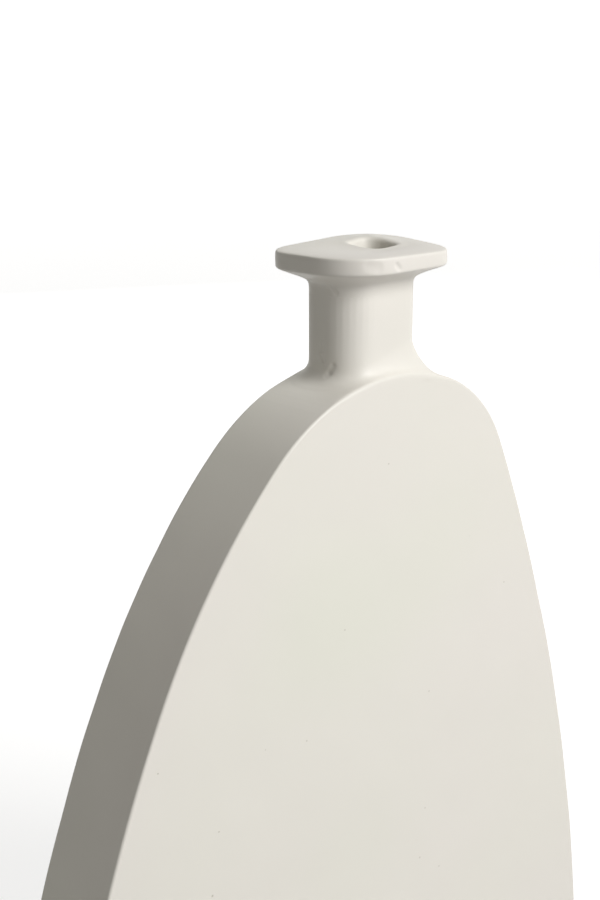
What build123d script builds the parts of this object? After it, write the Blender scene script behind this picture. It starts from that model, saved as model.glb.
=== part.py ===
from build123d import *
import math
import os

# Flat bottle vase built from rolled clay slabs: an arched front and back, a bent band for each
# flank, a floor, a short neck of rounded rectangular section and a thick flange with the mouth.
# Millimetres, +Z up, origin at the middle of the foot, front face towards -Y.

# Body: outline of the arch, seen from the front. Each flank is a chain of three tangent arcs.
BODY_HEIGHT = 340.0
LEFT_CROWN_RADIUS = 100.0
LEFT_CROWN_TURN = 44.6
LEFT_SHOULDER_RADIUS = 321.0
LEFT_SHOULDER_TURN = 19.6
LEFT_HIP_RADIUS = 650.0
RIGHT_CROWN_RADIUS = 102.0
RIGHT_CROWN_TURN = 20.5
RIGHT_SHOULDER_RADIUS = 71.0
RIGHT_SHOULDER_TURN = 45.0
RIGHT_HIP_RADIUS = 963.0

# Body: depth over the front and back slabs.
BODY_DEPTH = 41.0

# Body: clay thicknesses, the softened outer edges and the coil pressed into each inner seam.
SLAB = 6.5
BAND = 6.5
FLOOR = 7.0
EDGE_ROUND = 2.2
SEAM_COIL = 5.0

# Neck: outside of the rounded rectangular tube and its wall. It was pinched by hand, so the corners
# at the left rear and right front are tight and the other two are broad.
NECK_LENGTH = 46.0
NECK_DEPTH = 31.0
NECK_TIGHT_CORNER = 10.0
NECK_BROAD_CORNER = 15.0
NECK_WALL = 5.5
NECK_HEIGHT = 46.5

# Coil smoothed round the foot of the neck: how far it spreads along the crown and climbs the neck,
# and the angle its hollow face turns through.
FOOT_COIL_SPREAD = 13.0
FOOT_COIL_CLIMB = 13.0
FOOT_COIL_TURN = 72.0

# Coil smoothed into the corner under the flange: how far down the neck it runs, and its turn.
RIM_COIL_DROP = 9.5
RIM_COIL_TURN = 76.0

# Both coils are smeared out to this thickness where they run into the neck.
COIL_FEATHER = 0.4

# Flange: a slab with tight and broad corners like the neck's, soft edges, and a top that rises to a
# flat field for the mouth.
RIM_LENGTH = 67.0
RIM_DEPTH = 55.0
RIM_TIGHT_CORNER = 13.0
RIM_BROAD_CORNER = 25.0
RIM_EDGE = 6.5
RIM_CROWN = 3.0
RIM_CROWN_RUN = 10.5
RIM_TOP_ROUND = 1.6
RIM_UNDER_ROUND = 2.2

# Mouth: a rounded opening that sits off the neck's axis, with a soft lip.
MOUTH_LENGTH = 16.5
MOUTH_DEPTH = 16.0
MOUTH_CORNER = 7.0
MOUTH_OFF_X = 8.0
MOUTH_OFF_Y = 1.0
MOUTH_ROUND = 2.7

# Flats that make up the hollow face of each coil and a soft edge of the flange.
FOOT_COIL_FLATS = 7
RIM_COIL_FLATS = 4
EDGE_FLATS = 2

LEFT = -1
RIGHT = 1
ARCS = {
    LEFT: (
        (LEFT_CROWN_RADIUS, LEFT_CROWN_TURN),
        (LEFT_SHOULDER_RADIUS, LEFT_SHOULDER_TURN),
        LEFT_HIP_RADIUS,
    ),
    RIGHT: (
        (RIGHT_CROWN_RADIUS, RIGHT_CROWN_TURN),
        (RIGHT_SHOULDER_RADIUS, RIGHT_SHOULDER_TURN),
        RIGHT_HIP_RADIUS,
    ),
}


def flank_steps(side, inset, end_z):
    """Radius and turn of the arcs from the crown down to end_z, set in from the outer face."""
    crown, shoulder, hip_radius = ARCS[side]
    steps = [(crown[0] - inset, crown[1]), (shoulder[0] - inset, shoulder[1])]
    turned = 0.0
    z = BODY_HEIGHT - inset
    for radius, turn in steps:
        z -= radius * (math.cos(math.radians(turned)) - math.cos(math.radians(turned + turn)))
        turned += turn
    radius = hip_radius - inset
    end_cosine = math.cos(math.radians(turned)) - (z - end_z) / radius
    steps.append((radius, math.degrees(math.acos(end_cosine)) - turned))
    return steps


def flank_reach(side):
    """Distance from the neck's axis to the foot of one flank."""
    reach = 0.0
    turned = 0.0
    for radius, turn in flank_steps(side, 0.0, 0.0):
        reach += radius * (math.sin(math.radians(turned + turn)) - math.sin(math.radians(turned)))
        turned += turn
    return reach


# The foot is centred on the origin, so the neck stands off centre by half the flanks' difference.
NECK_X = (flank_reach(LEFT) - flank_reach(RIGHT)) / 2
FOOT_WIDTH = flank_reach(LEFT) + flank_reach(RIGHT)
RIM_BASE_Z = BODY_HEIGHT + NECK_HEIGHT
RIM_TOP_Z = RIM_BASE_Z + RIM_EDGE


def arch_prism(inset, end_z, depth):
    """The arch, set in from the outer face, down to end_z, centred on the vase's middle plane."""
    crown = (NECK_X, BODY_HEIGHT - inset)
    edges = []
    feet = []
    for side in (LEFT, RIGHT):
        point = crown
        heading = (side, 0)
        for radius, turn in flank_steps(side, inset, end_z):
            arc = JernArc(point, heading, radius, -side * turn)
            edges.append(arc)
            point = arc @ 1
            heading = arc % 1
        feet.append(point)
    edges.append(Line(*feet))
    return extrude(Plane.XZ * make_face(edges), depth / 2, both=True)


def seam_edges(solid):
    """The edges of the front and back faces, without the joints between tangent arcs."""
    return [edge for edge in solid.edges() if edge.position_at(0).Y * edge.position_at(1).Y > 0]


def oblong(length, depth, corners):
    """A rectangle with a tight radius on one pair of opposite corners, a broad one on the other."""
    tight, broad = corners
    shape = Rectangle(length, depth)
    shape = fillet([corner for corner in shape.vertices() if corner.X * corner.Y < 0], tight)
    return fillet([corner for corner in shape.vertices() if corner.X * corner.Y > 0], broad)


def rounded_block(length, depth, corners, low, high):
    """A rounded block on the neck's axis, between two heights."""
    return extrude(Pos(NECK_X, 0, low) * oblong(length, depth, corners), high - low)


def skirt(length, depth, corners, steps, off_x=0.0, off_y=0.0):
    """Ruled skin through rounded outlines: each step is a height and how far the outline grows."""
    sections = []
    for z, grow_x, grow_y in steps:
        grown = [corner + min(grow_x, grow_y) for corner in corners]
        outline = oblong(length + 2 * grow_x, depth + 2 * grow_y, grown)
        sections.append(Pos(NECK_X + off_x, off_y, z) * outline)
    return loft(sections, ruled=True)


def round_steps(start_z, end_z, grow_x, grow_y, flats, turn=90.0):
    """Steps of a round that leaves a wall at start_z and has turned away from it at end_z."""
    steps = []
    for i in range(flats + 1):
        angle = math.radians(turn * i / flats)
        share = (1 - math.cos(angle)) / (1 - math.cos(math.radians(turn)))
        travel = math.sin(angle) / math.sin(math.radians(turn))
        steps.append((start_z + (end_z - start_z) * travel, grow_x * share, grow_y * share))
    return steps


# Body: the outer form with its softened edges, then cut along the joints of the clay.
block = arch_prism(0.0, 0.0, BODY_DEPTH)
foot_corners = block.edges().group_by(Axis.Z)[0].filter_by(Axis.Y)
body = fillet(seam_edges(block) + foot_corners, EDGE_ROUND)

inner_depth = BODY_DEPTH - 2 * SLAB
slot = Box(2 * FOOT_WIDTH, inner_depth, 2 * BODY_HEIGHT + 2 * SLAB)
front_slab, back_slab = (body - slot).solids().sort_by(Axis.Y)

# The bands fill the edge between the slabs, and stop short of the opening into the neck.
bore_length = NECK_LENGTH - 2 * NECK_WALL
bore_depth = NECK_DEPTH - 2 * NECK_WALL
neck_corners = (NECK_TIGHT_CORNER, NECK_BROAD_CORNER)
bore_corners = [corner - NECK_WALL for corner in neck_corners]
passage = Pos(NECK_X, 0, BODY_HEIGHT) * Box(bore_length, BODY_DEPTH, 2 * NECK_HEIGHT)
inside = arch_prism(BAND, 0.0, inner_depth)
bands = (body & slot) - inside - passage
left_side_band, right_side_band = bands.solids().sort_by(Axis.X)

# The floor lies between the slabs and the bands, flush with their feet.
cavity = arch_prism(BAND, FLOOR, inner_depth)
floor_slab = inside - cavity

# A coil is pressed flat into each inner corner between a slab and the bands and floor.
coils = cavity - chamfer(seam_edges(cavity), SEAM_COIL) - passage
front_seam_coil, back_seam_coil = coils.solids().sort_by(Axis.Y)

# Neck: a tube that starts well inside the body, with its foot cut to the curve of the crown.
neck_low = BODY_HEIGHT - NECK_DEPTH
neck_block = rounded_block(NECK_LENGTH, NECK_DEPTH, neck_corners, neck_low, RIM_BASE_Z)
neck_bore = rounded_block(bore_length, bore_depth, bore_corners, neck_low, RIM_BASE_Z)
neck = neck_block - neck_bore - block

# Coil round the foot of the neck: it runs out along the falling crown, and onto the narrow ledge
# that the slabs leave in front of and behind the neck.
feather_length = NECK_LENGTH + 2 * COIL_FEATHER
feather_depth = NECK_DEPTH + 2 * COIL_FEATHER
feather_corners = [corner + COIL_FEATHER for corner in neck_corners]
coil_end = feather_length / 2 + FOOT_COIL_SPREAD
crown_radius = min(LEFT_CROWN_RADIUS, RIGHT_CROWN_RADIUS)
crown_fall = crown_radius - math.sqrt(crown_radius**2 - coil_end**2)
ledge = (BODY_DEPTH - NECK_DEPTH) / 2
foot_steps = round_steps(
    BODY_HEIGHT + FOOT_COIL_CLIMB,
    BODY_HEIGHT - crown_fall - COIL_FEATHER,
    FOOT_COIL_SPREAD,
    ledge - EDGE_ROUND / 2,
    FOOT_COIL_FLATS,
    FOOT_COIL_TURN,
)
neck_coil = skirt(feather_length, feather_depth, feather_corners, foot_steps) - body - neck_block

# Coil under the flange: it spreads evenly, to where the flange's lower edge starts to round.
overhang = min(RIM_LENGTH - NECK_LENGTH, RIM_DEPTH - NECK_DEPTH) / 2
rim_spread = overhang - RIM_UNDER_ROUND - COIL_FEATHER
coil_low = RIM_BASE_Z - RIM_COIL_DROP
rim_steps = round_steps(coil_low, RIM_BASE_Z, rim_spread, rim_spread, RIM_COIL_FLATS, RIM_COIL_TURN)
rim_coil = skirt(feather_length, feather_depth, feather_corners, rim_steps) - neck_block

# Flange: up the rounded lower edge, over the upper one, and in along the rising top.
under_z = RIM_BASE_Z + RIM_UNDER_ROUND
edge_z = RIM_TOP_Z - RIM_TOP_ROUND
lip_z = RIM_TOP_Z + RIM_CROWN
crown_inset = RIM_TOP_ROUND + RIM_CROWN_RUN
rim_profile = round_steps(under_z, RIM_BASE_Z, -RIM_UNDER_ROUND, -RIM_UNDER_ROUND, EDGE_FLATS)
rim_profile.reverse()
rim_profile += round_steps(edge_z, RIM_TOP_Z, -RIM_TOP_ROUND, -RIM_TOP_ROUND, EDGE_FLATS)
rim_profile.append((lip_z, -crown_inset, -crown_inset))
rim_corners = (RIM_TIGHT_CORNER, RIM_BROAD_CORNER)
rim_slab = skirt(RIM_LENGTH, RIM_DEPTH, rim_corners, rim_profile)

# The mouth goes straight through, and flares into a rounded lip.
lip_steps = round_steps(lip_z - MOUTH_ROUND, lip_z, MOUTH_ROUND, MOUTH_ROUND, EDGE_FLATS)
mouth_steps = [(RIM_BASE_Z, 0.0, 0.0)] + lip_steps
mouth_corners = (MOUTH_CORNER, MOUTH_CORNER)
mouth = skirt(MOUTH_LENGTH, MOUTH_DEPTH, mouth_corners, mouth_steps, MOUTH_OFF_X, MOUTH_OFF_Y)
rim_flange = rim_slab - mouth

nodes = {
    "front_slab": front_slab,
    "back_slab": back_slab,
    "left_side_band": left_side_band,
    "right_side_band": right_side_band,
    "floor_slab": floor_slab,
    "front_seam_coil": front_seam_coil,
    "back_seam_coil": back_seam_coil,
    "neck": neck,
    "neck_coil": neck_coil,
    "rim_coil": rim_coil,
    "rim_flange": rim_flange,
}
os.makedirs("parts", exist_ok=True)
for name, shape in nodes.items():
    export_step(shape, f"parts/{name}.step")
    print(name, len(shape.solids()), round(shape.volume), shape.bounding_box())
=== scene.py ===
import math

import bpy
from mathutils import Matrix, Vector
from mathutils.geometry import intersect_point_line


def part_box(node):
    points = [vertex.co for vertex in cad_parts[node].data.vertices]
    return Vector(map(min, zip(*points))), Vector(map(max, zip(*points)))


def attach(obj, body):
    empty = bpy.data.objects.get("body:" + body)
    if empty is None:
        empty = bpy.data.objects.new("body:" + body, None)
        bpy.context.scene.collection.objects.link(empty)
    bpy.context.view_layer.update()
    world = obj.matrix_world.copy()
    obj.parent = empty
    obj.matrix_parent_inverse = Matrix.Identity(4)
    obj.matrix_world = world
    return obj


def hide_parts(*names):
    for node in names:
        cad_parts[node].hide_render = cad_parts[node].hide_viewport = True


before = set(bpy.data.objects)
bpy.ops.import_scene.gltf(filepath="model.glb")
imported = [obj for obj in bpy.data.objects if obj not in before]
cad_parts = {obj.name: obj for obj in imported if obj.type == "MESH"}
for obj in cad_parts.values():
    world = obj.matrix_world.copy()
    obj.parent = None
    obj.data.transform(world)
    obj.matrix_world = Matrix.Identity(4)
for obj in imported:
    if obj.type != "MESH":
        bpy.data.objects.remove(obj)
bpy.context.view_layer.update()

# Floor and seam coils. A slab closes the foot and a coil is pressed into each inner corner. They keep
# their CAD shapes. Glaze would stick to the kiln shelf and is thin inside, so their clay shows bare.
MM = 0.001
BISQUE = (0.62, 0.53, 0.42, 1)
BISQUE_DARK = (0.5, 0.41, 0.31, 1)
GROG = (0.27, 0.2, 0.14, 1)
BISQUE_ROUGHNESS = (0.75, 0.95)
BISQUE_RELIEF = 0.6 * MM
BUMP_STRENGTH = 0.35
# Clouds, grains and speck cells to a metre, the share of cells with a speck, and its radius in cells.
CLOUD_SCALE = 45
GRAIN_SCALE = 420
SPECK_SCALE = 90
SPECK_CHANCE = 0.06
SPECK_ROUND = 0.035


def put(tree, kind, sockets, **settings):
    """Adds a shader node. A socket is given a plain value, or the output that feeds it."""
    node = tree.nodes.new(kind)
    for name, value in settings.items():
        setattr(node, name, value)
    for key, value in sockets.items():
        if isinstance(value, bpy.types.NodeSocket):
            tree.links.new(value, node.inputs[key])
        else:
            node.inputs[key].default_value = value
    return node


def blend_colour(tree, share, first, second):
    mix = put(tree, "ShaderNodeMix", {0: share, 6: first, 7: second}, data_type="RGBA")
    return mix.outputs[2]


def sums(tree, operation, first, second):
    return put(tree, "ShaderNodeMath", {0: first, 1: second}, operation=operation).outputs[0]


def rescale(tree, value, low, high, at_low=0.0, at_high=1.0):
    """Takes a value from one range to another, and holds it at both ends."""
    sockets = {0: value, 1: low, 2: high, 3: at_low, 4: at_high}
    return put(tree, "ShaderNodeMapRange", sockets).outputs[0]


grain = bpy.data.node_groups.new("clay_grain", "ShaderNodeTree")
grain.interface.new_socket("Place", in_out="INPUT", socket_type="NodeSocketVector")
for output in ("Cloud", "Grain", "Speck"):
    grain.interface.new_socket(output, in_out="OUTPUT", socket_type="NodeSocketFloat")
place = put(grain, "NodeGroupInput", {}).outputs["Place"]
cloud = put(grain, "ShaderNodeTexNoise", {"Vector": place, "Scale": CLOUD_SCALE, "Detail": 3})
fine = put(
    grain, "ShaderNodeTexNoise", {"Vector": place, "Scale": GRAIN_SCALE, "Detail": 4, "Roughness": 0.6}
)
cells = put(grain, "ShaderNodeTexVoronoi", {"Vector": place, "Scale": SPECK_SCALE})
chosen = put(grain, "ShaderNodeSeparateColor", {0: cells.outputs["Color"]})
lone = sums(grain, "GREATER_THAN", chosen.outputs[0], 1 - SPECK_CHANCE)
dot = rescale(grain, cells.outputs["Distance"], SPECK_ROUND, 2 * SPECK_ROUND, 1, 0)
speck = sums(grain, "MULTIPLY", dot, lone)
outlet = put(grain, "NodeGroupOutput", {})
grain.links.new(cloud.outputs["Fac"], outlet.inputs["Cloud"])
grain.links.new(fine.outputs["Fac"], outlet.inputs["Grain"])
grain.links.new(speck, outlet.inputs["Speck"])


def new_finish(name):
    """A material with its clay grain, and the shader that the finish goes to."""
    material = bpy.data.materials.new(name)
    material.use_nodes = True
    tree = material.node_tree
    spot = put(tree, "ShaderNodeTexCoord", {}).outputs["Object"]
    clay = put(tree, "ShaderNodeGroup", {}, node_tree=grain)
    tree.links.new(spot, clay.inputs["Place"])
    return material, tree, spot, clay.outputs, tree.nodes["Principled BSDF"]


def finish_surface(tree, shader, colour, roughness, height, depth):
    bump = put(tree, "ShaderNodeBump", {"Strength": BUMP_STRENGTH, "Distance": depth, "Height": height})
    tree.links.new(colour, shader.inputs["Base Color"])
    tree.links.new(roughness, shader.inputs["Roughness"])
    tree.links.new(bump.outputs["Normal"], shader.inputs["Normal"])


bare_clay, tree, spot, clay, shader = new_finish("bare_clay")
colour = blend_colour(tree, clay["Cloud"], BISQUE, BISQUE_DARK)
colour = blend_colour(tree, clay["Speck"], colour, GROG)
roughness = rescale(tree, clay["Grain"], 0, 1, *BISQUE_ROUGHNESS)
finish_surface(tree, shader, colour, roughness, clay["Grain"], BISQUE_RELIEF)
for node in ("floor_slab", "front_seam_coil", "back_seam_coil"):
    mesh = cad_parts[node].data
    mesh.materials.clear()
    mesh.materials.append(bare_clay)

# Front and back slabs. Both are rolled out of clay, cut to the arch and luted to the flank bands, then
# beaten until the joints are gone and given a satin glaze. The body is made whole here and parted along
# those joints.
slab_low, slab_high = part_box("front_slab")
back_low, back_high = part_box("back_slab")
neck_low, neck_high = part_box("neck")
foot_low, foot_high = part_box("neck_coil")
axis_x = (neck_low.x + neck_high.x) / 2
crown_z = slab_high.z
LEFT = -1
RIGHT = 1
# Arcs of each flank from the crown down: outer radius and turn in degrees. The last runs to the foot.
FLANK_ARCS = {
    LEFT: ((100 * MM, 44.6), (321 * MM, 19.6), (650 * MM, None)),
    RIGHT: ((102 * MM, 20.5), (71 * MM, 45.0), (963 * MM, None)),
}
ARC_STEP = 3 * MM
EDGE_ROUND = 1.2 * MM
EDGE_STEPS = 6
EDGE_HOLD = 0.2 * MM
SCRAPED = 0.15 * MM
GRID = 6 * MM
# The faces swell and sink within this range, fading out towards a plain foot and a plain crown.
UNEVEN_SPACING = 70 * MM
UNEVEN_RANGE = 1.4 * MM
UNEVEN_MIDDLE = 0.55
PLAIN_FOOT = 15 * MM
PLAIN_CROWN = 20 * MM
FOOT_FADE = 60 * MM
CROWN_FADE = 40 * MM
WEIGHT_STEPS = 20
COIL_MARGIN = 3 * MM
NEAR = MM / 10
CLOSE = MM / 1000
FLAT = 0.999
SLAB_SMOOTH = math.radians(20)
SOFT_SMOOTH = math.radians(40)
CREAM = (0.815, 0.79, 0.725, 1)
BLUSH = (0.82, 0.775, 0.735, 1)
CELADON = (0.795, 0.795, 0.7, 1)
PIT = (0.58, 0.55, 0.48, 1)
# Pinholes of the front in millimetres, across and up.
PINHOLES = (
    (-116.9, 196.7),
    (-85, 158.1),
    (-57.7, 186.8),
    (17.1, 300),
    (74.2, 252.7),
    (-9.8, 228.7),
    (101.2, 222.4),
    (46.7, 119.8),
    (58.2, 83.4),
    (-33.1, 182.7),
    (47.5, 181.2),
)
PINHOLE_ROUND = 0.25 * MM
# The glaze drifts slowly towards blush at one end of the tint's range and celadon at the other.
TINT_SCALE = 6
WARM_TINT = (0.5, 0.8)
COOL_TINT = (0.48, 0.2)
GLAZE_ROUGHNESS = (0.45, 0.62)
GLAZE_RELIEF = 0.4 * MM
GLAZE_COAT = 0.2
GLAZE_COAT_ROUGHNESS = 0.3


def start_fresh():
    """Back to object mode with nothing selected."""
    if bpy.context.mode != "OBJECT":
        bpy.ops.object.mode_set(mode="OBJECT")
    bpy.ops.object.select_all(action="DESELECT")


def take_up(piece):
    start_fresh()
    bpy.context.view_layer.objects.active = piece
    piece.select_set(True)


def pick(piece, vertices=None, edges=None, faces=None):
    """In edit mode, selects only what the test accepts."""
    bpy.ops.object.mode_set(mode="EDIT")
    bpy.ops.mesh.select_mode(type="VERT" if vertices else "EDGE" if edges else "FACE")
    bpy.ops.mesh.select_all(action="DESELECT")
    bpy.ops.object.mode_set(mode="OBJECT")
    mesh = piece.data
    if vertices:
        for vertex in mesh.vertices:
            vertex.select = vertices(vertex.co)
    if edges:
        for edge in mesh.edges:
            start, end = edge.vertices
            edge.select = edges(mesh.vertices[start].co, mesh.vertices[end].co)
    if faces:
        for face in mesh.polygons:
            face.select = faces(face.center, face.normal)
    bpy.ops.object.mode_set(mode="EDIT")


def point_outwards(piece):
    take_up(piece)
    bpy.ops.object.mode_set(mode="EDIT")
    bpy.ops.mesh.select_all(action="SELECT")
    bpy.ops.mesh.normals_make_consistent(inside=False)
    bpy.ops.object.mode_set(mode="OBJECT")


def arch(inset, low_z, front_y, back_y):
    """The body's arch, set in from its outer face: one point spun down both flanks, then filled."""
    start_fresh()
    bpy.ops.mesh.primitive_plane_add(size=ARC_STEP)
    piece = bpy.context.object
    bpy.ops.object.mode_set(mode="EDIT")
    bpy.ops.mesh.select_mode(type="VERT")
    bpy.ops.mesh.merge(type="CENTER")
    top = Vector((axis_x, front_y, crown_z - inset))
    bpy.ops.transform.translate(value=top)
    for side in (LEFT, RIGHT):
        pick(piece, vertices=lambda co: co.z > top.z - NEAR / 10)
        point = top
        turned = 0.0
        for outer_radius, turn in FLANK_ARCS[side]:
            radius = outer_radius - inset
            centre = point - radius * Vector((side * math.sin(turned), 0, math.cos(turned)))
            end = turned + math.radians(turn) if turn else math.acos((low_z - centre.z) / radius)
            bpy.ops.mesh.spin(
                steps=round(radius * (end - turned) / ARC_STEP),
                angle=-side * (end - turned),
                center=centre,
                axis=(0, 1, 0),
            )
            point = centre + radius * Vector((side * math.sin(end), 0, math.cos(end)))
            turned = end
    pick(piece, vertices=lambda co: co.z < low_z + NEAR)
    bpy.ops.mesh.edge_face_add()
    bpy.ops.mesh.select_all(action="SELECT")
    bpy.ops.mesh.edge_face_add()
    bpy.ops.mesh.extrude_region_move(TRANSFORM_OT_translate={"value": (0, back_y - front_y, 0)})
    point_outwards(piece)
    return piece


def score(piece, across, places):
    """Cuts straight lines across a piece, so that its flat faces can be beaten out of true."""
    take_up(piece)
    bpy.ops.object.mode_set(mode="EDIT")
    for place in places:
        bpy.ops.mesh.select_all(action="SELECT")
        bpy.ops.mesh.bisect(plane_co=place * Vector(across), plane_no=across, threshold=CLOSE)
    bpy.ops.object.mode_set(mode="OBJECT")


def apply_modifier(piece, kind, **settings):
    take_up(piece)
    modifier = piece.modifiers.new(kind.lower(), kind)
    for name, value in settings.items():
        setattr(modifier, name, value)
    bpy.ops.object.modifier_apply(modifier=modifier.name)


def weigh(piece, name, rule):
    """A vertex group with steps of weight, from each vertex's place."""
    take_up(piece)
    group = piece.vertex_groups.new(name=name)
    levels = {}
    for vertex in piece.data.vertices:
        level = round(WEIGHT_STEPS * min(max(rule(vertex.co), 0), 1))
        levels.setdefault(level, []).append(vertex.index)
    for level, indices in levels.items():
        group.add(indices, level / WEIGHT_STEPS, "REPLACE")


def cut_from(source, name, *cuts):
    """A copy of a form, cut away on the side that each cut's normal points to, and closed there."""
    take_up(source)
    piece = source.copy()
    piece.data = source.data.copy()
    piece.name = name
    bpy.context.collection.objects.link(piece)
    take_up(piece)
    bpy.ops.object.mode_set(mode="EDIT")
    for spot, normal in cuts:
        bpy.ops.mesh.select_all(action="SELECT")
        bpy.ops.mesh.bisect(
            plane_co=spot, plane_no=normal, clear_outer=True, use_fill=True, threshold=CLOSE
        )
    bpy.ops.object.mode_set(mode="OBJECT")
    return piece


def glaze_piece(piece, node, smooth_below):
    """Shades and glazes a finished piece, which stands for one CAD node and rides with the rest."""
    point_outwards(piece)
    take_up(piece)
    bpy.ops.object.shade_smooth_by_angle(angle=smooth_below)
    piece.vertex_groups.clear()
    piece.data.materials.clear()
    piece.data.materials.append(glaze)
    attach(piece, "root")
    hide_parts(node)


glaze, tree, spot, clay, shader = new_finish("satin_glaze")
tint = put(tree, "ShaderNodeTexNoise", {"Vector": spot, "Scale": TINT_SCALE, "Detail": 1})
warm = rescale(tree, tint.outputs["Fac"], *WARM_TINT)
cool = rescale(tree, tint.outputs["Fac"], *COOL_TINT)
colour = blend_colour(tree, warm, CREAM, BLUSH)
colour = blend_colour(tree, cool, colour, CELADON)
pits = clay["Speck"]
for x, z in PINHOLES:
    middle = Vector((x * MM, slab_low.y, z * MM))
    away = put(tree, "ShaderNodeVectorMath", {0: spot, 1: middle}, operation="DISTANCE").outputs["Value"]
    pit = rescale(tree, away, PINHOLE_ROUND, 2 * PINHOLE_ROUND, 1, 0)
    pits = sums(tree, "MAXIMUM", pits, pit)
colour = blend_colour(tree, pits, colour, PIT)
roughness = rescale(tree, clay["Cloud"], 0, 1, *GLAZE_ROUGHNESS)
height = sums(tree, "SUBTRACT", clay["Cloud"], pits)
finish_surface(tree, shader, colour, roughness, height, GLAZE_RELIEF)
shader.inputs["Coat Weight"].default_value = GLAZE_COAT
shader.inputs["Coat Roughness"].default_value = GLAZE_COAT_ROUGHNESS

body_clay = arch(SCRAPED, 0, slab_low.y, back_high.y)
pick(body_clay, edges=lambda a, b: a.y * b.y > 0 or max(a.z, b.z) < NEAR)
bpy.ops.mesh.bevel(offset=EDGE_ROUND, segments=EDGE_STEPS, affect="EDGES")
pick(body_clay, faces=lambda co, normal: abs(normal.y) > FLAT)
bpy.ops.mesh.inset(thickness=EDGE_HOLD)
hold_y = back_high.y - EDGE_ROUND - EDGE_HOLD
rows = int(crown_z / GRID)
columns = int(slab_high.x / GRID)
score(body_clay, (0, 1, 0), (-hold_y, -2 * GRID, -GRID, 0, GRID, 2 * GRID, hold_y))
score(body_clay, (0, 0, 1), [EDGE_ROUND + EDGE_HOLD] + [row * GRID for row in range(1, rows + 1)])
score(body_clay, (1, 0, 0), [column * GRID for column in range(-columns, columns + 1)])
uneven = bpy.data.textures.new("uneven", "CLOUDS")
uneven.noise_scale = UNEVEN_SPACING
weigh(
    body_clay,
    "beaten",
    lambda co: min((co.z - PLAIN_FOOT) / FOOT_FADE, (crown_z - PLAIN_CROWN - co.z) / CROWN_FADE),
)
apply_modifier(
    body_clay,
    "DISPLACE",
    texture=uneven,
    texture_coords="LOCAL",
    strength=UNEVEN_RANGE,
    mid_level=UNEVEN_MIDDLE,
    vertex_group="beaten",
)

joint_front = (0, slab_high.y, 0)
joint_back = (0, back_low.y, 0)
joint_crown = (0, 0, foot_low.z - COIL_MARGIN)
body = cut_from(body_clay, "body", (joint_crown, (0, 0, 1)))
front_face = cut_from(body, "front_face", (joint_front, (0, 1, 0)))
glaze_piece(front_face, "front_slab", SLAB_SMOOTH)
back_face = cut_from(body, "back_face", (joint_back, (0, -1, 0)))
glaze_piece(back_face, "back_slab", SLAB_SMOOTH)

# Flank bands. A strip of the same clay slab is bent round each flank and luted between the two faces,
# and the two strips stop at the opening into the neck. The hollow of the body is cut out of them. They
# have the satin glaze of the faces.
BAND_WALL = 6.5 * MM
NECK_WALL = 5.5 * MM
HOLLOW_BELOW = 10 * MM
neck_size = neck_high - neck_low
bore_half = neck_size.x / 2 - NECK_WALL
edge_strip = cut_from(body, "edge_strip", (joint_front, (0, -1, 0)), (joint_back, (0, 1, 0)))
hollow = arch(BAND_WALL, -HOLLOW_BELOW, slab_low.y, back_high.y)
for name, node, side in (
    ("left_flank", "left_side_band", LEFT),
    ("right_flank", "right_side_band", RIGHT),
):
    flank = cut_from(edge_strip, name, ((axis_x + side * bore_half, 0, 0), (-side, 0, 0)))
    apply_modifier(flank, "BOOLEAN", operation="DIFFERENCE", object=hollow, solver="EXACT")
    glaze_piece(flank, node, SLAB_SMOOTH)
for used_up in (body, edge_strip, hollow):
    bpy.data.objects.remove(used_up)

# Neck and the coil at its foot. A short clay tube is pinched to a rounded rectangle with two tight corners
# and two broad ones. A soft roll is thumbed into the corner below it and drawn out along the crown. Both
# have the same satin glaze.
coil_low, coil_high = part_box("rim_coil")
rim_low, rim_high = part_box("rim_flange")
NECK_CORNERS = (10 * MM, 15 * MM)
NECK_SINK = 12 * MM
CORNER_STEPS = 8
CORNER_SHARE = 0.99
SIDE_CUTS = 4
# The roll's spread to each side, how it climbs the neck, and how it is pulled out of true.
FOOT_LEFT = 8.5 * MM
FOOT_RIGHT = 15 * MM
FOOT_LEDGE = 4.4 * MM
FOOT_CLIMB = 11 * MM
FOOT_SINK = 3 * MM
FOOT_STEPS = 8
FOOT_TWIST = 0.045
FOOT_TUCK = 0.6 * MM
FOOT_DRAWN_UP = 1.1
DRAWN_UP_MIDDLE = 0.4
CROWN_BLOCK = 20 * MM
VOXEL = 0.55 * MM
SOFTEN_TURNS = 8
# The thumb works round a line just above the crown, up the neck, down the flanks and out to each side.
THUMB_LINE = 1 * MM
THUMB_TURNS = 30
THUMB_HOLD = 1.5
THUMB_UP = 16 * MM
THUMB_DOWN = 8 * MM
THUMB_REACH = 38 * MM
THUMB_FADE = 6 * MM
# Past this reach or below this depth, as far as the end, the joint is let in to the body's surface.
LET_IN_REACH = 37 * MM
LET_IN_REACH_FADE = 4 * MM
LET_IN_DEPTH = 5 * MM
LET_IN_DEPTH_FADE = 3 * MM
LET_IN_END = 14 * MM
# How far the joints between these pieces lie from the CAD pieces' edges.
TUCK = 0.8 * MM
FOOT_LAP = 2.3 * MM
TOP_LAP = 2 * MM
SEAT_LAP = 1.2 * MM
# Strokes of a wooden tool: start, end, reach to each side and depth, in millimetres.
NECK_MARKS = (
    ((-3.4, 1.2, 354.3), (-3.4, 1.1, 350.7), 1.2, 0.3),
    ((-3.4, 2.4, 349.2), (-3.4, 0.5, 346.4), 1.2, 0.35),
    ((-2.7, -4.9, 344.9), (-3.3, -3.1, 341.6), 2.0, 0.4),
    ((-3.3, -3.1, 341.6), (-3.8, -1.8, 340.6), 2.0, 0.3),
)


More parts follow.
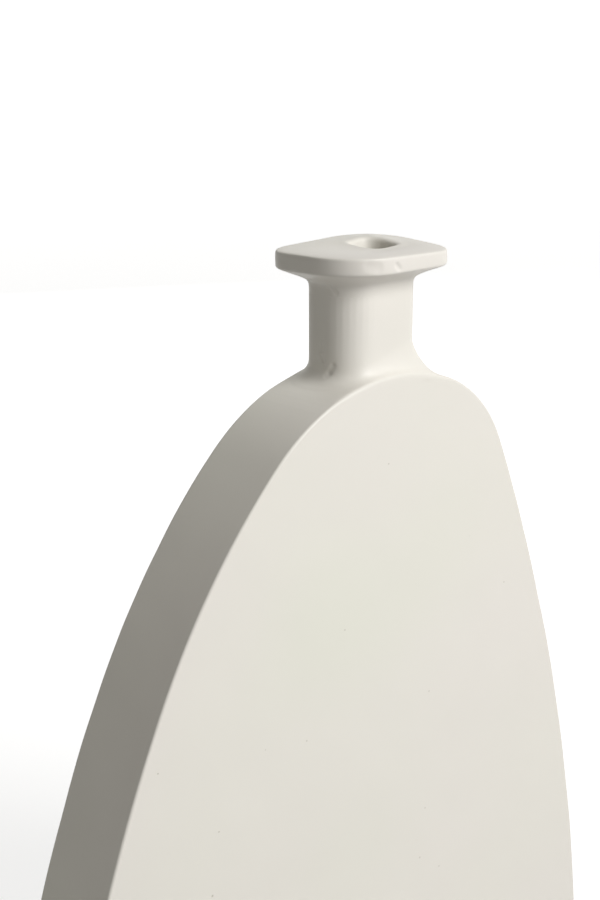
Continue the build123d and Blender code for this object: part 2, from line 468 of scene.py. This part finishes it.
def rounded_plate(length, depth, corners, x, y, z):
    """A flat plate, left in edit mode with its face selected. The tight corners are at the left rear
    and the right front, the broad ones at the other two."""
    start_fresh()
    bpy.ops.mesh.primitive_plane_add(size=1)
    plate = bpy.context.object
    bpy.ops.object.mode_set(mode="EDIT")
    bpy.ops.transform.resize(value=(length, depth, 1))
    bpy.ops.transform.translate(value=(x, y, z))
    for corner, side in zip(corners, (-1, 1)):
        corner_area = CORNER_SHARE * length * depth / 4
        pick(plate, vertices=lambda co: side * (co.x - x) * (co.y - y) > corner_area)
        bpy.ops.mesh.bevel(offset=corner, segments=CORNER_STEPS, affect="VERTICES")
    arc_step = max(corners) / CORNER_STEPS * 2
    pick(plate, edges=lambda a, b: (a - b).length > arc_step)
    bpy.ops.mesh.subdivide(number_cuts=SIDE_CUTS)
    bpy.ops.mesh.select_all(action="SELECT")
    return plate


def draw_up(plate, sections):
    """Extrudes the plate's face through a list of lengths, depths and middle points."""
    for length, depth, x, y, z in sections:
        bpy.ops.mesh.extrude_region_move()
        bpy.ops.object.mode_set(mode="OBJECT")
        outline = [vertex.co for vertex in plate.data.vertices if vertex.select]
        low = Vector([min(co[i] for co in outline) for i in range(3)])
        high = Vector([max(co[i] for co in outline) for i in range(3)])
        bpy.ops.object.mode_set(mode="EDIT")
        middle = (low + high) / 2
        bpy.ops.transform.resize(
            value=(length / (high.x - low.x), depth / (high.y - low.y), 1), center_override=middle
        )
        bpy.ops.transform.translate(value=Vector((x, y, z)) - middle)


def rounded_block(length, depth, corners, low_z, high_z):
    block = rounded_plate(length, depth, corners, axis_x, 0, low_z)
    bpy.ops.mesh.extrude_region_move(TRANSFORM_OT_translate={"value": (0, 0, high_z - low_z)})
    point_outwards(block)
    return block


def join_up(pieces):
    start_fresh()
    for piece in pieces:
        piece.select_set(True)
    bpy.context.view_layer.objects.active = pieces[0]
    bpy.ops.object.join()
    return pieces[0]


def press(piece, marks):
    """Presses the strokes of a tool into soft clay."""
    start_fresh()
    for start, end, reach, depth in marks:
        start, end = MM * Vector(start), MM * Vector(end)
        touched = []
        for vertex in piece.data.vertices:
            share = intersect_point_line(vertex.co, start, end)[1]
            gap = (vertex.co - start.lerp(end, min(max(share, 0), 1))).length / (reach * MM)
            if gap < 1:
                touched.append((vertex, depth * MM * (1 - gap**2) ** 2 * vertex.normal))
        for vertex, push in touched:
            vertex.co -= push


neck_clay = rounded_block(neck_size.x, neck_size.y, NECK_CORNERS, crown_z - NECK_SINK, coil_high.z)

foot_clay = rounded_plate(
    neck_size.x + FOOT_LEFT + FOOT_RIGHT,
    neck_size.y + 2 * FOOT_LEDGE,
    [corner + FOOT_LEDGE for corner in NECK_CORNERS],
    axis_x + (FOOT_RIGHT - FOOT_LEFT) / 2,
    0,
    crown_z - FOOT_SINK,
)
foot_sections = []
for step in range(FOOT_STEPS + 1):
    angle = math.pi / 2 * step / FOOT_STEPS
    spread = 1 - math.sin(angle)
    left = FOOT_LEFT * spread**2 - FOOT_TUCK
    right = FOOT_RIGHT * spread - FOOT_TUCK
    ledge = FOOT_LEDGE * spread - FOOT_TUCK
    length, depth = neck_size.x + left + right, neck_size.y + 2 * ledge
    rise = FOOT_CLIMB * (1 - math.cos(angle))
    foot_sections.append((length, depth, axis_x + (right - left) / 2, 0, crown_z + rise))
draw_up(foot_clay, foot_sections)
start_fresh()
for vertex in foot_clay.data.vertices:
    out = vertex.co.x - axis_x
    crown_radius = FLANK_ARCS[LEFT if out < 0 else RIGHT][0][0]
    fall = crown_radius - math.sqrt(crown_radius**2 - out**2)
    slack = 1 - min(max((vertex.co.z - crown_z) / FOOT_CLIMB, 0), 1)
    front = min(max((-vertex.co.y - neck_size.y / 3) / FOOT_LEDGE, 0), 1)
    rightward = min(max(DRAWN_UP_MIDDLE + out / neck_size.x, 0), 1)
    vertex.co.z += FOOT_DRAWN_UP * front * rightward * max(vertex.co.z - crown_z, 0)
    vertex.co.z -= fall * slack
    vertex.co.y -= FOOT_TWIST * out * slack
point_outwards(foot_clay)

crown = cut_from(body_clay, "crown", ((0, 0, crown_z - CROWN_BLOCK), (0, 0, -1)))
form = join_up([crown, neck_clay, foot_clay])
apply_modifier(form, "REMESH", mode="VOXEL", voxel_size=VOXEL)
apply_modifier(form, "SMOOTH", iterations=SOFTEN_TURNS)
thumb_z = crown_z + THUMB_LINE
weigh(
    form,
    "thumbed",
    lambda co: min(
        THUMB_HOLD - (co.z - thumb_z) / THUMB_UP,
        THUMB_HOLD - (thumb_z - co.z) / THUMB_DOWN,
        (THUMB_REACH - abs(co.x - axis_x)) / THUMB_FADE,
    ),
)
apply_modifier(form, "SMOOTH", iterations=THUMB_TURNS, vertex_group="thumbed")
weigh(
    form,
    "let_in",
    lambda co: (co.z > crown_z - LET_IN_END)
    * max(
        (abs(co.x - axis_x) - LET_IN_REACH) / LET_IN_REACH_FADE,
        (crown_z - LET_IN_DEPTH - co.z) / LET_IN_DEPTH_FADE,
    ),
)
apply_modifier(form, "SHRINKWRAP", target=body_clay, vertex_group="let_in")
press(form, NECK_MARKS)

neck_foot_z = foot_high.z + FOOT_LAP
neck_top_z = coil_low.z - TOP_LAP
rim_seat_z = rim_low.z - SEAT_LAP
tucked = (neck_size.x - 2 * TUCK, neck_size.y - 2 * TUCK)
foot_coil = cut_from(
    form, "neck_foot_coil", (joint_crown, (0, 0, -1)), ((0, 0, neck_foot_z), (0, 0, 1))
)
tube_space = rounded_block(
    *tucked, [corner - TUCK for corner in NECK_CORNERS], crown_z - NECK_SINK, rim_low.z
)
apply_modifier(foot_coil, "BOOLEAN", operation="DIFFERENCE", object=tube_space, solver="EXACT")
glaze_piece(foot_coil, "neck_coil", SOFT_SMOOTH)

neck_tube = cut_from(
    form, "neck_tube", ((0, 0, neck_foot_z), (0, 0, -1)), ((0, 0, neck_top_z), (0, 0, 1))
)
for cap_z, end_z in ((neck_foot_z, crown_z), (neck_top_z, rim_seat_z)):
    pick(neck_tube, faces=lambda co, normal: abs(normal.z) > FLAT and abs(co.z - cap_z) < NEAR)
    draw_up(neck_tube, [(*tucked, axis_x, 0, cap_z), (*tucked, axis_x, 0, end_z)])
bore = rounded_block(
    neck_size.x - 2 * NECK_WALL,
    neck_size.y - 2 * NECK_WALL,
    [corner - NECK_WALL for corner in NECK_CORNERS],
    crown_z - NECK_SINK,
    rim_high.z,
)
apply_modifier(neck_tube, "BOOLEAN", operation="DIFFERENCE", object=bore, solver="EXACT")
glaze_piece(neck_tube, "neck", SOFT_SMOOTH)
for used_up in (body_clay, form, bore):
    bpy.data.objects.remove(used_up)

# Rim and the coil under it. The thick flange is cut from a clay slab and pressed on to the neck a little
# askew. A coil is smoothed under it with a wet finger, and the mouth's lip is wiped soft. Both have the
# same satin glaze.
rim_size = rim_high - rim_low
RIM_CORNERS = (13 * MM, 25 * MM)
MOUTH = (15 * MM, 16.5 * MM)
MOUTH_X = 8.4 * MM
MOUTH_Y = 1.6 * MM
TOP_TILT = math.radians(1.0)
UNDER_TILT = math.radians(0.9)
LIP_TILT = math.radians(3.1)
LIP_REACH = 5.4 * MM
# Heights above the crown: where each tipped part starts or ends, and what it turns on.
LIP_LOW = 51 * MM
LIP_PIVOT = 54.6 * MM
UNDER_RANGE = (42.6 * MM, 47.6 * MM)
UNDER_PIVOT = 46 * MM
FLANGE_LOW = 42 * MM
FLANGE_PIVOT = 47 * MM
UNDER_CLEAR = 18 * MM
# The flange's warp: its lift, and what each end along, across and at the corners adds to it.
WARP_LIFT = 0.7 * MM
WARP_ALONG = -0.3 * MM
WARP_ACROSS = 0.58 * MM
WARP_CORNERS = 1.0 * MM
COVE_DROP = 3 * MM
SUBDIVISIONS = 3
RIM_MARKS = (
    ((12.6, -27.5, 389.8), (14.2, -27.5, 388.2), 1.8, 0.5),
    ((-1.5, -25.2, 390.5), (2.5, -26.4, 389.5), 3.5, 0.3),
    ((-4.3, -3.3, 380.8), (-2.3, -6.1, 377.0), 1.6, 0.35),
    ((-6.5, 6.5, 382.2), (-4.6, 8.5, 380.6), 1.6, 0.35),
)
# Sections of the subdivided form, with heights above the crown in millimetres. The first two lists go
# from the neck's outline, 0, to the flange's, 1. The others give millimetres in from the flange's edge
# and out from the mouth.
COVE = ((0, 35), (0, 37.6), (0.02, 39.4), (0.12, 41.2))
UNDERSIDE = ((0.5, 43.3), (0.88, 45.2), (0.985, 46.0), (1, 47.0))
EDGE_AND_TOP = ((0, 51.7), (0.2, 52.8), (1.2, 53.3), (9, 53.8))
LIP_AND_MOUTH = ((5.2, 53.5), (2.6, 54.0), (0.5, 53.5), (0, 51.5), (-0.3, 48), (-0.5, 40))


def between(share, z):
    """A section between the neck's outline and the flange's."""
    length = neck_size.x + (rim_size.x - neck_size.x) * share
    depth = neck_size.y + (rim_size.y - neck_size.y) * share
    return (length, depth, axis_x, 0, crown_z + z * MM)


def tip(piece, test, middle, lift_right=0.0, lift_back=0.0):
    """Tips part of a cage, so that its right or its back comes up."""
    pick(piece, vertices=test)
    bpy.ops.transform.rotate(value=lift_right, orient_axis="Y", center_override=middle)
    bpy.ops.transform.rotate(value=-lift_back, orient_axis="X", center_override=middle)


cove_clay = rounded_plate(neck_size.x, neck_size.y, NECK_CORNERS, axis_x, 0, neck_top_z - COVE_DROP)
draw_up(cove_clay, [between(share, z) for share, z in COVE])
bpy.ops.mesh.delete(type="ONLY_FACE")

rim_clay = rounded_plate(rim_size.x, rim_size.y, RIM_CORNERS, axis_x, 0, rim_low.z)
rim_sections = [between(share, z) for share, z in UNDERSIDE]
for inset, z in EDGE_AND_TOP:
    inward = 2 * inset * MM
    rim_sections.append((rim_size.x - inward, rim_size.y - inward, axis_x, 0, crown_z + z * MM))
mouth_x = axis_x + MOUTH_X
for outset, z in LIP_AND_MOUTH:
    outward = 2 * outset * MM
    rim_sections.append((MOUTH[0] + outward, MOUTH[1] + outward, mouth_x, MOUTH_Y, crown_z + z * MM))
draw_up(rim_clay, rim_sections)
pick(rim_clay, vertices=lambda co: abs(co.z - rim_low.z) < NEAR / 10)
bpy.ops.mesh.delete(type="VERT")
rim_clay = join_up([rim_clay, cove_clay])
bpy.ops.object.mode_set(mode="EDIT")
bpy.ops.mesh.select_mode(type="EDGE")
bpy.ops.mesh.select_all(action="DESELECT")
bpy.ops.mesh.select_non_manifold()
bpy.ops.mesh.bridge_edge_loops()
tip(
    rim_clay,
    lambda co: co.z > crown_z + LIP_LOW
    and abs(co.x - mouth_x) < MOUTH[0] / 2 + LIP_REACH
    and abs(co.y - MOUTH_Y) < MOUTH[1] / 2 + LIP_REACH,
    (mouth_x, MOUTH_Y, crown_z + LIP_PIVOT),
    lift_right=LIP_TILT,
    lift_back=LIP_TILT,
)
tip(
    rim_clay,
    lambda co: UNDER_RANGE[0] < co.z - crown_z < UNDER_RANGE[1]
    and abs(co.x - axis_x) + abs(co.y) > UNDER_CLEAR,
    (axis_x, 0, crown_z + UNDER_PIVOT),
    lift_right=UNDER_TILT,
)
tip(
    rim_clay,
    lambda co: co.z > crown_z + FLANGE_LOW,
    (axis_x, 0, crown_z + FLANGE_PIVOT),
    lift_right=TOP_TILT,
)
start_fresh()
for vertex in rim_clay.data.vertices:
    along = 2 * (vertex.co.x - axis_x) / rim_size.x
    across = 2 * vertex.co.y / rim_size.y
    if vertex.co.z > crown_z + FLANGE_LOW:
        ends = WARP_ALONG * along + WARP_ACROSS * across + WARP_CORNERS * along * across
        vertex.co.z += WARP_LIFT + ends
point_outwards(rim_clay)
apply_modifier(rim_clay, "SUBSURF", levels=SUBDIVISIONS, render_levels=SUBDIVISIONS)
press(rim_clay, RIM_MARKS)
rim = cut_from(rim_clay, "rim", ((0, 0, rim_seat_z), (0, 0, -1)))
glaze_piece(rim, "rim_flange", SOFT_SMOOTH)
under_coil = cut_from(
    rim_clay, "under_rim_coil", ((0, 0, rim_seat_z), (0, 0, 1)), ((0, 0, neck_top_z), (0, 0, -1))
)
apply_modifier(under_coil, "BOOLEAN", operation="DIFFERENCE", object=tube_space, solver="EXACT")
glaze_piece(under_coil, "rim_coil", SOFT_SMOOTH)
for used_up in (rim_clay, tube_space):
    bpy.data.objects.remove(used_up)

# Studio. A pale floor without an end and a white surround. One large soft lamp stands in front, a weak
# one fills the back, and the camera looks down on the rim from the left.
FLOOR_SIZE = 900
FLOOR_GREY = (0.5, 0.5, 0.5, 1)
FLOOR_ROUGHNESS = 0.9
# The floor is lifted towards white, less near the vase and more far away, in metres.
FLOOR_AWAY = (0.3, 4.0)
FLOOR_LIFT = (0.7, 0.92)
WHITE = (1, 1, 1, 1)
AMBIENT = 0.175
WARM_WHITE = (1, 0.965, 0.87, 1)
LAMP_REACH = 2.0
LAMP_SIZE = 1.0
start_fresh()
bpy.ops.mesh.primitive_plane_add(size=FLOOR_SIZE)
floor = bpy.context.object
floor.name = "floor"
floor_paint = bpy.data.materials.new("floor_paint")
floor_paint.use_nodes = True
floor.data.materials.append(floor_paint)
tree = floor_paint.node_tree
shader = tree.nodes["Principled BSDF"]
shader.inputs["Base Color"].default_value = FLOOR_GREY
shader.inputs["Roughness"].default_value = FLOOR_ROUGHNESS


def seen_directly(tree):
    """1 for what the camera sees, also in a reflection, and 0 for light that falls on things."""
    path = put(tree, "ShaderNodeLightPath", {}).outputs
    return sums(tree, "MAXIMUM", path["Is Camera Ray"], path["Is Glossy Ray"])


spot = put(tree, "ShaderNodeTexCoord", {}).outputs["Object"]
away = put(tree, "ShaderNodeVectorMath", {0: spot}, operation="LENGTH").outputs["Value"]
lift = rescale(tree, away, *FLOOR_AWAY, *FLOOR_LIFT)
glow = put(tree, "ShaderNodeEmission", {"Strength": sums(tree, "MULTIPLY", seen_directly(tree), lift)})
lifted = put(tree, "ShaderNodeAddShader", {0: shader.outputs[0], 1: glow.outputs[0]})
tree.links.new(lifted.outputs[0], tree.nodes["Material Output"].inputs["Surface"])

scene = bpy.context.scene
scene.view_settings.view_transform = "Standard"
surround = bpy.data.worlds.new("surround")
scene.world = surround
surround.use_nodes = True
tree = surround.node_tree
seen = seen_directly(tree)
strength = rescale(tree, seen, 0, 1, AMBIENT, 1)
background = tree.nodes["Background"]
tree.links.new(blend_colour(tree, seen, WARM_WHITE, WHITE), background.inputs["Color"])
tree.links.new(strength, background.inputs["Strength"])

# Each lamp's name, watts, direction from the neck, and whether it shows as a reflection.
neck_root = Vector((axis_x, 0, crown_z))
for name, energy, direction, shine in (
    ("softbox", 36, (0.2, -0.75, 0.5), True),
    ("back_fill", 11, (0.45, 0.85, 0.2), False),
):
    light = bpy.data.lights.new(name, "AREA")
    light.size = LAMP_SIZE
    light.energy = energy
    lamp = bpy.data.objects.new(name, light)
    lamp.visible_glossy = shine
    bpy.context.collection.objects.link(lamp)
    towards_lamp = Vector(direction).normalized()
    lamp.location = neck_root + LAMP_REACH * towards_lamp
    lamp.rotation_euler = towards_lamp.to_track_quat("Z", "Y").to_euler()

LENS = 64
SENSOR = 36
CAMERA_REACH = 713.9 * MM
CAMERA_SIDE = math.radians(46)
CAMERA_RISE = math.radians(13)
CAMERA_YAW = math.radians(43.78)
CAMERA_PITCH = math.radians(15.97)
eye = bpy.data.cameras.new("camera")
eye.lens = LENS
eye.sensor_width = SENSOR
camera = bpy.data.objects.new("camera", eye)
bpy.context.collection.objects.link(camera)
camera.location = neck_root + CAMERA_REACH * Vector(
    (
        -math.sin(CAMERA_SIDE) * math.cos(CAMERA_RISE),
        -math.cos(CAMERA_SIDE) * math.cos(CAMERA_RISE),
        math.sin(CAMERA_RISE),
    )
)
camera.rotation_euler = (math.pi / 2 - CAMERA_PITCH, 0, -CAMERA_YAW)
scene.camera = camera

start_fresh()
